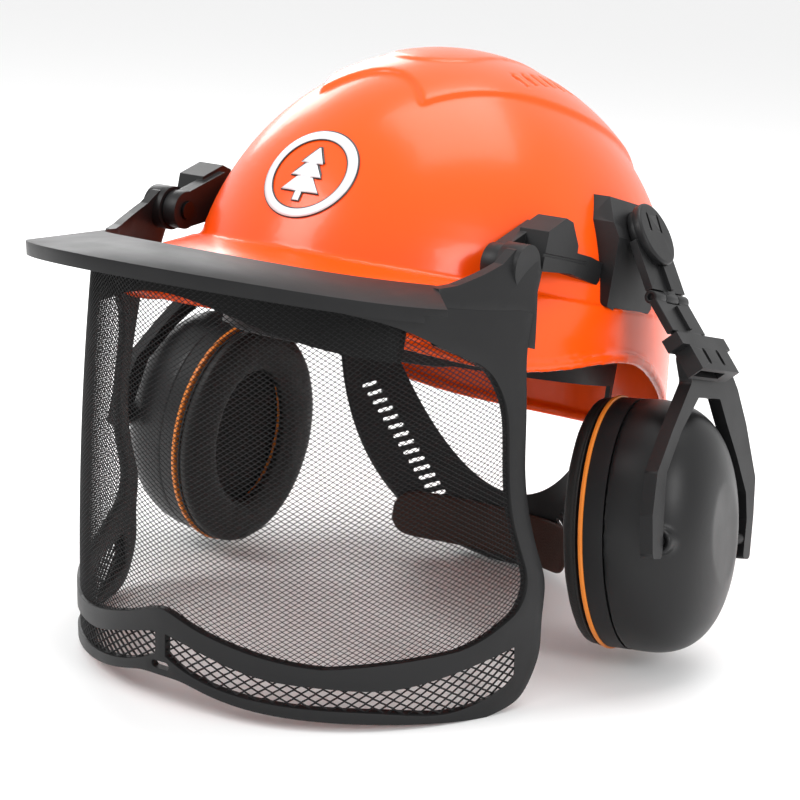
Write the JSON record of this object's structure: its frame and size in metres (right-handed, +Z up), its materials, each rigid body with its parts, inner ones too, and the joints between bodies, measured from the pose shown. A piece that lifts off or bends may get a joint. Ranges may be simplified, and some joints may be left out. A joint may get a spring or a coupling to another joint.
{
  "type": "forestry helmet",
  "caption": "Hard forestry helmet with flip-up mesh visor and sun peak, and folding ear muffs on side arms.",
  "frame": {"origin": "on the floor under the middle of the bounding box, with the helmet standing on its visor chin and nape strap", "axes": "+Z up, -Y to the front (where the visor faces), +X to the wearer's left"},
  "size_m": [0.3192, 0.3712, 0.2628],
  "materials": {
    "shell_orange": "glossy moulded plastic",
    "black_plastic": "satin moulded plastic",
    "cup_black": "satin moulded plastic",
    "visor_black": "satin moulded plastic",
    "peak_black": "semi-gloss moulded plastic",
    "brow_rubber": "black ribbed rubber",
    "mesh_black": "black coated mesh",
    "ring_orange": "glossy moulded plastic",
    "harness_plastic": "matte moulded plastic",
    "cushion_black": "soft leather-like cover over foam",
    "foam_black": "open-cell foam",
    "sweatband": "padded fabric",
    "strap_grey": "woven webbing",
    "pad_brown": "brown leather-like pad",
    "steel": "plain steel"
  },
  "bodies": {
    "helmet": {"shell": "shell_orange", "headband": "harness_plastic", "sweatband_pad": "sweatband", "nape_strap": "harness_plastic", "nape_housing": "black_plastic", "nape_pad": "pad_brown", "crown_strap_long": "strap_grey", "crown_strap_cross": "strap_grey", "crown_pad": "sweatband", "harness_clips": "harness_plastic", "adaptor_left": "black_plastic", "adaptor_right": "black_plastic", "visor_bracket_left": "black_plastic", "visor_bracket_right": "black_plastic", "visor_hinge_pin_left": "steel", "visor_hinge_pin_right": "steel"},
    "knob": {"nape_knob": "black_plastic"},
    "visor": {"visor_frame": "visor_black", "mesh_screen": "mesh_black", "chin_grille": "mesh_black", "brow_strip": "brow_rubber", "peak": "peak_black", "visor_arm_left": "black_plastic", "visor_arm_right": "black_plastic"},
    "arm_left": {"pivot_disc_left": "black_plastic", "arm_plate_left": "black_plastic", "fold_pin_left": "steel"},
    "slider_left": {"slide_plate_left": "black_plastic"},
    "fork_left": {"fork_left": "black_plastic"},
    "cup_left": {"cup_shell_left": "cup_black", "trim_ring_left": "ring_orange", "back_plate_left": "black_plastic", "cushion_left": "cushion_black", "foam_insert_left": "foam_black"},
    "arm_right": {"pivot_disc_right": "black_plastic", "arm_plate_right": "black_plastic", "fold_pin_right": "steel"},
    "slider_right": {"slide_plate_right": "black_plastic"},
    "fork_right": {"fork_right": "black_plastic"},
    "cup_right": {"cup_shell_right": "cup_black", "trim_ring_right": "ring_orange", "back_plate_right": "black_plastic", "cushion_right": "cushion_black", "foam_insert_right": "foam_black"}
  },
  "joints": [
    {"name": "visor_flip", "type": "hinge", "parent": "helmet", "child": "visor", "pos_m": [0, -0.03326, 0.18529], "axis": [-1, 0, 0], "range_deg": [0, 90]},
    {"name": "knob_turn", "type": "hinge", "parent": "helmet", "child": "knob", "pos_m": [0, 0.14217, 0.01393], "axis": [0, 0.9785, -0.2062], "continuous": true},
    {"name": "arm_turn_left", "type": "hinge", "parent": "helmet", "child": "arm_left", "pos_m": [0.1036, 0.05751, 0.18926], "axis": [0.8499, 0.1087, 0.5156], "range_deg": [-12, 8]},
    {"name": "muff_fold_left", "type": "hinge", "parent": "arm_left", "child": "slider_left", "pos_m": [0.11893, 0.05241, 0.16506], "axis": [0, -0.9785, 0.2062], "range_deg": [-6, 40]},
    {"name": "fork_slide_left", "type": "slide", "parent": "slider_left", "child": "fork_left", "axis": [0.6769, -0.1518, -0.7203], "range_m": [-0.002, 0.01]},
    {"name": "cup_tilt_left", "type": "hinge", "parent": "fork_left", "child": "cup_left", "pos_m": [0.147, 0.04835, 0.06334], "axis": [0, -0.9785, 0.2062], "range_deg": [0, 7]},
    {"name": "arm_turn_right", "type": "hinge", "parent": "helmet", "child": "arm_right", "pos_m": [-0.1036, 0.05751, 0.18926], "axis": [0.8499, -0.1087, -0.5156], "range_deg": [-12, 8]},
    {"name": "muff_fold_right", "type": "hinge", "parent": "arm_right", "child": "slider_right", "pos_m": [-0.11893, 0.05241, 0.16506], "axis": [0, 0.9785, -0.2062], "range_deg": [-6, 40]},
    {"name": "fork_slide_right", "type": "slide", "parent": "slider_right", "child": "fork_right", "axis": [-0.6769, -0.1518, -0.7203], "range_m": [-0.002, 0.01]},
    {"name": "cup_tilt_right", "type": "hinge", "parent": "fork_right", "child": "cup_right", "pos_m": [-0.147, 0.04835, 0.06334], "axis": [0, 0.9785, -0.2062], "range_deg": [0, 7]}
  ]
}
